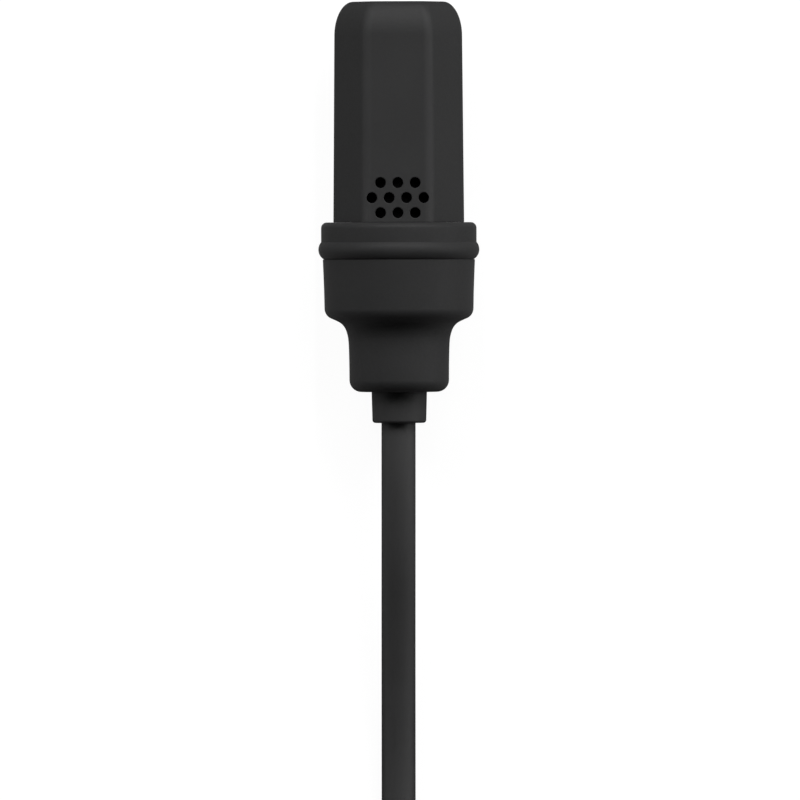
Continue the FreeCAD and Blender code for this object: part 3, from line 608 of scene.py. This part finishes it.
SCREEN_HEAD = 11.74
SCREEN_RECESS = 0.08


def hexagon(apothem, height):
    """A rounded hexagon across the microphone's axis, flats facing up and down."""
    reach = (apothem - CAP_CORNER) / math.cos(math.radians(30))
    ring = []
    for index in range(6):
        middle = math.radians(60 * index)
        for step in range(CAP_CORNER_STEPS + 1):
            angle = middle + math.radians(60 * step / CAP_CORNER_STEPS - 30)
            x = reach * math.cos(middle) + CAP_CORNER * math.cos(angle)
            z = reach * math.sin(middle) + CAP_CORNER * math.sin(angle)
            ring.append((x, height, z))
    return ring


def flat_at(height):
    """How far the cap's flats are from its axis at a height below its shoulder."""
    share = (height - CAP_FOOT) / (CAP_WAIST - CAP_FOOT)
    return CAP_FOOT_APOTHEM + (CAP_APOTHEM - CAP_FOOT_APOTHEM) * share


def drill(shape, entry, direction, depth):
    """Add a drill with a chamfered mouth to a cutter: it enters at a point along a direction."""
    direction = Vector(direction)
    side = direction.orthogonal().normalized()
    other = direction.cross(side)
    above = 0.2
    rings = []
    for distance, reach in (
        (-above, HOLE_RADIUS + HOLE_CHAMFER + above),
        (HOLE_CHAMFER, HOLE_RADIUS),
        (depth, HOLE_RADIUS),
    ):
        ring = []
        for step in range(HOLE_STEPS):
            angle = 2 * math.pi * step / HOLE_STEPS
            outward = side * math.cos(angle) + other * math.sin(angle)
            ring.append(shape.verts.new(Vector(entry) + direction * distance + outward * reach))
        rings.append(ring)
    for lower, upper in zip(rings, rings[1:]):
        skin(shape, lower, upper)
    shape.faces.new(rings[0])
    shape.faces.new(rings[-1])


def make_cap():
    """The hexagonal cap with its bore, its side holes and the holes in its closed end."""
    shape = bmesh.new()
    levels = [
        (CAP_FOOT_APOTHEM - CAP_EDGE, CAP_FOOT),
        (flat_at(CAP_FOOT + CAP_EDGE), CAP_FOOT + CAP_EDGE),
    ]
    for step in range(SHOULDER_STEPS + 1):
        angle = math.radians(90) * step / SHOULDER_STEPS
        apothem = CAP_APOTHEM - SHOULDER_INSET * (1 - math.cos(angle))
        levels.append((apothem, CAP_WAIST + SHOULDER_DROP * math.sin(angle)))
    rings = [[shape.verts.new(p) for p in hexagon(apothem, height)] for apothem, height in levels]
    for lower, upper in zip(rings, rings[1:]):
        skin(shape, lower, upper)
    shape.faces.new(rings[0])
    shape.faces.new(rings[-1])
    cap = new_piece("cap_with_holes", shape, HEAD)

    below = CAP_FOOT - 1
    roof = HEAD_LENGTH - CAP_ROOF
    recess = CAP_BORE + SCREEN_RECESS
    bore = [
        (0, below),
        (CAP_BORE, below),
        (CAP_BORE, SCREEN_FOOT),
        (recess, SCREEN_FOOT),
        (recess, SCREEN_HEAD),
        (CAP_BORE, SCREEN_HEAD),
        (CAP_BORE, roof),
        (0, roof),
    ]
    cut(cap, lathe("bore_cutter", bore, HEAD, 96))

    drills = bmesh.new()
    for row, count in SIDE_HOLE_ROWS:
        height = MIDDLE_ROW + row * SIDE_HOLE_ROW_PITCH
        for step in range(count):
            x = SIDE_HOLE_PITCH * (step - (count - 1) / 2)
            for side in (1, -1):
                entry = (x, height, side * flat_at(height))
                drill(drills, entry, (0, 0, -side), SIDE_HOLE_DEPTH)
    places = [(0, 0)]
    for pitches, turn in END_HOLE_CIRCLES:
        for index in range(6):
            angle = math.radians(60 * index + turn)
            circle = pitches * END_HOLE_PITCH
            places.append((circle * math.cos(angle), circle * math.sin(angle)))
    for x, z in places:
        drill(drills, (x, HEAD_LENGTH, z), (0, -1, 0), END_HOLE_DEPTH)
    cut(cap, new_piece("drills", drills, HEAD))
    dress(cap, cap_paint, "cap", ["grille_cap"])


# ------------------------------------------------------------------ the body shell and the sleeve

SLEEVE_BORE = 0.8
SHANK_RADIUS = 1.0
SHANK_SPAN = (1.454, 2.3)
SLEEVE_HEAD_RADIUS = 1.5


def make_body_shell():
    """Neck, shoulder, body, seam, bead and collar in one profile, and the bores inside."""
    neck_foot, neck_floor = SHANK_SPAN
    neck_radius, neck_edge = 2.334, 0.56
    body_foot, body_foot_radius, body_top_radius = 5.353, 3.493, 3.567
    bead_middle, bead_half = 8.09, 0.387
    bead_foot = bead_middle - bead_half
    bead_head = bead_middle + bead_half
    collar_radius, collar_top, collar_edge = 3.645, 9.403, 0.27
    seam_width, seam_depth = 0.05, 0.05
    socket_radius, socket_floor = 2.85, 5.6
    neck = [(2.338, 2.6), (2.344, 3.0), (2.353, 3.4), (2.367, 3.75), (2.389, 3.97)]
    shoulder = [(3.04, 4.838), (3.151, 4.885)]
    body = [(3.511, 6.2), (3.54, 7.0), (body_top_radius, bead_foot - seam_width)]
    profile = [(SHANK_RADIUS, neck_foot), (neck_radius - neck_edge, neck_foot)]
    profile += arc(profile[-1], (neck_radius, neck_foot + neck_edge), neck_edge, 14)
    profile += neck
    profile += arc(profile[-1], (2.4885, 4.3455), -1.88, 6)
    profile += arc(profile[-1], (2.84, 4.744), -0.745, 12)
    profile += shoulder
    profile += arc(profile[-1], (body_foot_radius, body_foot), 0.52, 12)
    profile += body
    profile += [(body_top_radius - seam_depth, bead_foot - seam_width / 2)]
    profile += [(body_top_radius, bead_foot)]
    profile += arc(profile[-1], (collar_radius, bead_head), 0.54, 16)
    profile += [(collar_radius, 8.8), (collar_radius, collar_top - collar_edge)]
    profile += arc(profile[-1], (collar_radius - collar_edge, collar_top), collar_edge, 10)
    profile += [
        (socket_radius, collar_top),
        (socket_radius, socket_floor),
        (SLEEVE_HEAD_RADIUS, socket_floor),
        (SLEEVE_HEAD_RADIUS, neck_floor),
        (SHANK_RADIUS, neck_floor),
    ]
    shell = lathe("shell_with_collar", profile, HEAD, 192)
    dress(shell, shell_paint, "microphone", ["body_shell"])


def make_strain_relief():
    """The sleeve where the cable leaves the neck, with its shank and its head in the neck."""
    shank_foot, shank_head = SHANK_SPAN
    foot_radius, top_radius, head_top = 1.26, 1.298, 2.8
    corners = [
        (SLEEVE_BORE, 0.0, 0.05),
        (foot_radius, 0.0, 0.14),
        (top_radius, shank_foot, 0.0),
        (SHANK_RADIUS, shank_foot, 0.0),
        (SHANK_RADIUS, shank_head, 0.0),
        (SLEEVE_HEAD_RADIUS, shank_head, 0.0),
        (SLEEVE_HEAD_RADIUS, head_top, 0.0),
        (SLEEVE_BORE, head_top, 0.0),
    ]
    sleeve = lathe("cable_sleeve", softened(corners, 8), HEAD, 128)
    dress(sleeve, relief_paint, "microphone", ["strain_relief"])


# ------------------------------------------------------------------ the cable, its coil and its tie

CABLE_RADIUS = 0.0008
LEAD_ROUTE = [
    (-0.00004, -0.0098725, 0.003764),
    (-0.00005, -0.0142, 0.003764),
    (-0.0001, -0.0198, 0.00195),
    (-0.00013, -0.0256, 0.00084),
    (-0.00014, -0.0311, 0.00082),
    (-0.0022, -0.03719, 0.00115),
]
TAIL_ROUTE = [
    (-0.00246, -0.04462, 0.00915),
    (-0.00161, -0.0476, 0.00905),
    (0.000108, -0.053555, 0.0053),
    (0.000773, -0.056685, 0.0053),
]
COIL_LAYERS = 6
COIL_TURNS = 27.1
COIL_START = math.radians(160)
COIL_INNER = 0.0048
COIL_BOTTOM = 0.00115
CLIMB = 0.5
POINTS_PER_TURN = 16


def coil_point(turns):
    """A control point of the winding after so many turns: flat layers, wound in and out.

    The cable climbs to the next layer over CLIMB of a turn. A spline of order 3 cuts inside its
    control points, so these lie a little further out than the cable.
    """
    per_layer = COIL_TURNS / COIL_LAYERS
    pitch = 2 * CABLE_RADIUS
    layer = min(int(turns / per_layer), COIL_LAYERS - 1)
    inwards = layer % 2 == 0
    into = turns - layer * per_layer
    reach = COIL_INNER + pitch * (per_layer - into if inwards else into)
    nearest = round(turns / per_layer)
    past = turns - nearest * per_layer
    height = layer
    if 0 < nearest < COIL_LAYERS and abs(past) < CLIMB / 2:
        share = past / CLIMB + 0.5
        height = nearest - 1 + share * share * (3 - 2 * share)
    angle = COIL_START + 2 * math.pi * turns
    widened = reach / (0.75 + 0.25 * math.cos(2 * math.pi / POINTS_PER_TURN))
    return (
        COIL_CENTRE.x + widened * math.cos(angle),
        COIL_CENTRE.y + widened * math.sin(angle),
        COIL_BOTTOM + pitch * height,
    )


def make_cable():
    """The whole cable as one smooth line: the lead, the winding and the tail."""
    count = round(COIL_TURNS * POINTS_PER_TURN)
    winding = [coil_point(COIL_TURNS * step / count) for step in range(1, count)]
    points = LEAD_ROUTE + winding + TAIL_ROUTE
    curve = bpy.data.curves.new("cable", "CURVE")
    curve.dimensions = "3D"
    curve.bevel_depth = CABLE_RADIUS
    curve.bevel_resolution = 10
    curve.resolution_u = 6
    curve.use_fill_caps = True
    spline = curve.splines.new("NURBS")
    spline.points.add(len(points) - 1)
    for point, place in zip(spline.points, points):
        point.co = (*place, 1)
    spline.order_u = 3
    spline.use_endpoint_u = True
    curve.materials.append(cable_paint)
    cable = bpy.data.objects.new("cable", curve)
    bpy.context.scene.collection.objects.link(cable)
    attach(cable, "microphone")
    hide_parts("cable_lead", "cable_coil", "cable_tail")
    return cable


def make_tie():
    """The hook and loop strap: once around the winding, with its end lapped over on top."""
    thickness, half_width = 0.35, 2.0
    inner, outer = 4.0, 12.26
    bottom, top = 0.35, coil_high.z / MM
    bend, edge = 1.1, 0.12
    half = thickness / 2
    centre_line = softened(
        [
            (inner - half, bottom - half, bend),
            (outer + half, bottom - half, bend),
            (outer + half, top + half, bend),
            (inner - half, top + half, bend),
        ],
        8,
    )
    section = softened(
        [
            (-half_width, -half, edge),
            (half_width, -half, edge),
            (half_width, half, edge),
            (-half_width, half, edge),
        ],
        3,
    )
    shape = bmesh.new()
    rings = []
    count = len(centre_line)
    for index, (r, z) in enumerate(centre_line):
        before = Vector(centre_line[index - 1])
        after = Vector(centre_line[(index + 1) % count])
        along = (after - before).normalized()
        outward = Vector((along.y, -along.x))
        ring = []
        for across, rise in section:
            ring.append(shape.verts.new((r + outward.x * rise, across, z + outward.y * rise)))
        rings.append(ring)
    for index in range(count):
        skin(shape, rings[index], rings[(index + 1) % count])
    coil_middle = Matrix.Translation((COIL_CENTRE.x, COIL_CENTRE.y, 0))
    placement = coil_middle @ Matrix.Rotation(TIE_TURN, 4, "Z")
    strap = new_piece("tie_strap", shape, placement)
    dress(strap, tie_paint, "microphone", ["coil_tie"])

    lap_start, lap_end = 5.4, 10.6
    lap_half_width = half_width - 0.1
    lap_foot = top + thickness - 0.02
    lap_head = top + thickness + thickness * 0.8
    outline = softened(
        [
            (lap_start, -lap_half_width, 1.2),
            (lap_end, -lap_half_width, 0.5),
            (lap_end, lap_half_width, 0.5),
            (lap_start, lap_half_width, 1.2),
        ],
        6,
    )
    lap = plate("tie_lap", outline, lap_foot, lap_head, placement)
    bevel(lap, 0.1)
    dress(lap, tie_paint, "microphone", None)
    return [strap, lap]


# ------------------------------------------------------------------ the connector

OPENING_FOOT = 2.0
OPENING_HEAD = 7.0


def make_plug_shell():
    """The shell with rounded edges, two turned grooves, and its slot, window and screw hole."""
    nose_bore, bore, bore_step = 4.05, 4.3, 12.0
    rim, nose, barrel, barrel_face = 4.6, 4.4, 5.3, 4.9
    rim_edge, rim_head = 0.3, 2.3
    barrel_foot, length, barrel_edge = 9.0, 22.0, 0.4
    groove, groove_width = 0.08, 0.2
    corners = [
        (nose_bore, 0.0, 0.08),
        (bore, 0.0, 0.05),
        (rim, rim_edge, 0.08),
        (rim, rim_head, 0.05),
        (nose, rim_head, 0.05),
        (nose, barrel_foot, 0.04),
        (barrel_face, barrel_foot, 0.05),
        (barrel, barrel_foot + barrel_edge, 0.2),
    ]
    for foot in (18.2, 19.2):
        head = foot + groove_width
        corners += [
            (barrel, foot, 0.03),
            (barrel - groove, foot + groove, 0.0),
            (barrel - groove, head, 0.0),
            (barrel, head + groove, 0.03),
        ]
    corners += [
        (barrel, length - barrel_edge, 0.25),
        (barrel_face, length, 0.1),
        (bore, length, 0.05),
        (bore, bore_step, 0.0),
        (nose_bore, bore_step, 0.0),
    ]
    shell = lathe("connector_shell", softened(corners, 4), PLUG, 160)
    cut_opening(shell, "slot_cutter", 1.7, 10.0, 17.2, 0.35)
    cut_opening(shell, "window_cutter", 1.25, 2.4, 4.6, 0.25)
    screw_place, screw_hole, hole_floor = 10.6, 0.75, 3.5
    hole = [
        (0, hole_floor),
        (screw_hole, hole_floor),
        (screw_hole, OPENING_HEAD),
        (0, OPENING_HEAD),
    ]
    sideways = Matrix.Rotation(math.radians(-90), 4, "Z")
    placement = PLUG @ Matrix.Translation((0, screw_place * MM, 0)) @ sideways
    cut(shell, lathe("hole_cutter", hole, placement, 48))
    return dress(shell, plug_paint, "microphone", ["plug_shell"])


def make_latch():
    """The latch's arm, its hook, and its button with grip ridges."""
    arm_foot, arm_head, hook_top = 3.35, 3.85, 4.95
    nose_end, hook_front, hook_back, button_end = 2.7, 3.4, 4.2, 17.0
    arm_half_width, button_half_width = 1.05, 1.55
    arm_outline = softened(
        [
            (nose_end, arm_foot, 0.05),
            (button_end, arm_foot, 0.05),
            (button_end, arm_head, 0.05),
            (hook_back, arm_head, 0.1),
            (hook_back, hook_top, 0.08),
            (hook_front, hook_top, 0.2),
            (nose_end, arm_head, 0.1),
        ]
    )
    arm = prism("latch_arm", arm_outline, arm_half_width, PLUG)
    bevel(arm, 0.04, 2)
    dress(arm, latch_paint, "latch", None)

    button_start, button_middle = 10.2, 13.6
    shoulder, crown, ridge_top = 5.5, 5.86, 6.0
    slope = 0.7
    ridge_count, ridge_pitch = 6, 0.62
    first = button_middle - ridge_pitch * (ridge_count - 1) / 2
    corners = [
        (button_start, arm_foot, 0.0),
        (button_end, arm_foot, 0.0),
        (button_end, shoulder, 0.3),
        (button_end - slope, crown, 0.4),
    ]
    for index in reversed(range(ridge_count)):
        middle = first + index * ridge_pitch
        corners += [
            (middle + 0.2, crown, 0.05),
            (middle + 0.1, ridge_top, 0.06),
            (middle - 0.1, ridge_top, 0.06),
            (middle - 0.2, crown, 0.05),
        ]
    corners += [(button_start + slope, crown, 0.4), (button_start, shoulder, 0.3)]
    button = prism("latch_thumb_button", softened(corners, 4), button_half_width, PLUG)
    bevel(button, 0.12, 3, 60)
    return [arm, dress(button, latch_paint, "latch", ["latch_button"])]


def make_leaf_spring():
    """The bowed leaf between the connector's insert and the latch's arm, which presses it flat."""
    foot, head, bed = 5.6, 9.6, 2.5
    thickness, bow, half_width = 0.12, 3.2, 0.9
    outline = [(foot, bed)]
    outline += arc(outline[-1], (head, bed), -bow, 24)
    outline += [(head, bed + thickness)]
    outline += arc(outline[-1], (foot, bed + thickness), bow, 24)
    leaf = prism("latch_leaf_spring", outline, half_width, PLUG)
    bevel(leaf, 0.02, 2)
    dress(leaf, steel_paint, "microphone", ["latch_spring"])
    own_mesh(leaf)
    return leaf


def make_boot():
    """The ribbed bend relief with soft edges."""
    length, flange_foot, flange_head = 35.0, 22.0, 23.2
    plug_foot, bore_step = 18.5, 21.5
    bore, plug_bore, plug_radius, flange_radius = 0.8, 2.4, 4.3, 5.0
    root, tip = 3.7, 1.55
    rib_foot, ribs, depth = 24.2, 5, 0.45
    pitch = (length - rib_foot - 1) / ribs
    taper = (root - tip) / (length - flange_head)
    corners = [
        (plug_bore, plug_foot, 0.0),
        (plug_radius, plug_foot, 0.1),
        (plug_radius, flange_foot, 0.0),
        (flange_radius, flange_foot, 0.05),
        (flange_radius, flange_head, 0.35),
        (root, flange_head, 0.25),
    ]
    for rib in range(ribs):
        for share, sunk in ((0, 0), (0, 1), (0.45, 1), (0.45, 0)):
            height = rib_foot + (rib + share) * pitch
            surface = root - taper * (height - flange_head) - sunk * depth
            corners.append((surface, height, 0.12 if sunk else 0.2))
    corners += [
        (tip, length, 0.15),
        (bore, length, 0.06),
        (bore, bore_step, 0.0),
        (plug_bore, bore_step, 0.0),
    ]
    boot = lathe("bend_relief", softened(corners, 4), PLUG, 128)
    return dress(boot, boot_paint, "microphone", ["plug_boot"])


# ------------------------------------------------------------------ what stays from the frame


def paint_node(node, paint):
    """Give a CAD node one of the materials below."""
    mesh = frame["nodes"][node].data
    mesh.materials.clear()
    mesh.materials.append(paint)


# The cap's colour is painted lighter along each crease of its hexagon: a painted highlight.
cap_paint = moulded(
    "cap_paint", (0.027, 0.027, 0.0275), 0.68, specular=0.35, coat=0.06,
    crease_highlight=(6, 2.5, 2.9, 0.3),
)
shell_paint = moulded(
    "shell_paint", (0.0205, 0.0205, 0.021), 0.66, specular=0.35, coat=0.04, sheen=0.045,
)
relief_paint = moulded(
    "relief_paint", (0.031, 0.031, 0.0315), 0.66, depth=0.006, specular=0.3, coat=0.2,
)
cable_paint = moulded(
    "cable_paint", (0.04, 0.04, 0.0405), 0.62, grain=0.1, depth=0.006, contrast=0.04,
    specular=0.3, coat=0.2,
)
tie_paint = looped("tie_paint", (0.02, 0.02, 0.02))
plug_paint = turned_metal("plug_paint", (0.03, 0.03, 0.031), 0.42, depth=0.002, metallic=0.0)
boot_paint = moulded("boot_paint", (0.018, 0.018, 0.018), 0.62, depth=0.008, specular=0.3)
latch_paint = turned_metal("latch_paint", (0.62, 0.62, 0.63), 0.34)
steel_paint = turned_metal("steel_paint", (0.5, 0.5, 0.51), 0.32)
brass_paint = turned_metal("brass_paint", (0.72, 0.55, 0.27), 0.3)
gold_paint = turned_metal("gold_paint", (0.83, 0.63, 0.3), 0.22)
can_paint = turned_metal("can_paint", (0.7, 0.7, 0.72), 0.3)
chassis_paint = turned_metal("chassis_paint", (0.03, 0.03, 0.03), 0.5, depth=0.002, metallic=0.0)
insert_paint = moulded("insert_paint", (0.03, 0.03, 0.03), 0.5)
seal_paint = moulded("seal_paint", (0.02, 0.02, 0.02), 0.65)
resin_paint = moulded("resin_paint", (0.04, 0.04, 0.042), 0.15, coat=0.5)
felt_paint = looped("felt_paint", (0.03, 0.03, 0.03))
film_paint = moulded("film_paint", (0.7, 0.68, 0.58), 0.2, metallic=0.8)
board_paint = moulded("board_paint", (0.02, 0.15, 0.05), 0.3, coat=0.4)
chip_paint = moulded("chip_paint", (0.02, 0.02, 0.02), 0.5)
ceramic_paint = moulded("ceramic_paint", (0.45, 0.33, 0.2), 0.4)
solder_paint = moulded("solder_paint", (0.62, 0.62, 0.64), 0.25, metallic=1.0)
copper_paint = turned_metal("copper_paint", (0.8, 0.42, 0.28), 0.3)
red_paint = moulded("red_paint", (0.55, 0.03, 0.03), 0.35)
white_paint = moulded("white_paint", (0.75, 0.75, 0.74), 0.35)
port_mesh_paint = woven("port_mesh_paint", "X", "Y")
front_mesh_paint = woven("front_mesh_paint", "X", "Z")

NODE_PAINTS = {
    "front_screen": front_mesh_paint,
    "port_screen": port_mesh_paint,
    "cable_jacket_end": cable_paint,
    "crimp_ring": brass_paint,
    "anchor_resin": resin_paint,
    "inner_chassis": chassis_paint,
    "cap_seal": seal_paint,
    "capsule_can": can_paint,
    "front_felt": felt_paint,
    "diaphragm_ring": brass_paint,
    "diaphragm": film_paint,
    "spacer_ring": film_paint,
    "backplate": brass_paint,
    "backplate_holder": insert_paint,
    "contact_ring": brass_paint,
    "rear_damper": felt_paint,
    "circuit_board": board_paint,
    "fet_chip": chip_paint,
    "chip_capacitors": ceramic_paint,
    "solder_joints": solder_paint,
    "shield_wire": copper_paint,
    "signal_wire": red_paint,
    "bias_wire": white_paint,
    "plug_insert": insert_paint,
    "socket_contacts": gold_paint,
    "insert_screw": steel_paint,
    "plug_jacket_end": cable_paint,
    "cable_clamp": brass_paint,
    "plug_conductors": red_paint,
}

make_camera()
cable = make_cable()
tie = make_tie()
make_cap()
make_body_shell()
make_strain_relief()
plug_shell = make_plug_shell()
latch = make_latch()
leaf_spring = make_leaf_spring()
boot = make_boot()
for node_name, node_paint in NODE_PAINTS.items():
    paint_node(node_name, node_paint)

on_the_cable = [*tie, plug_shell, *latch, leaf_spring, boot]
on_the_cable += [
    "plug_insert",
    "socket_contacts",
    "insert_screw",
    "plug_jacket_end",
    "cable_clamp",
    "plug_conductors",
]

make_stage()
make_lights()
bpy.context.scene.view_settings.view_transform = "Standard"
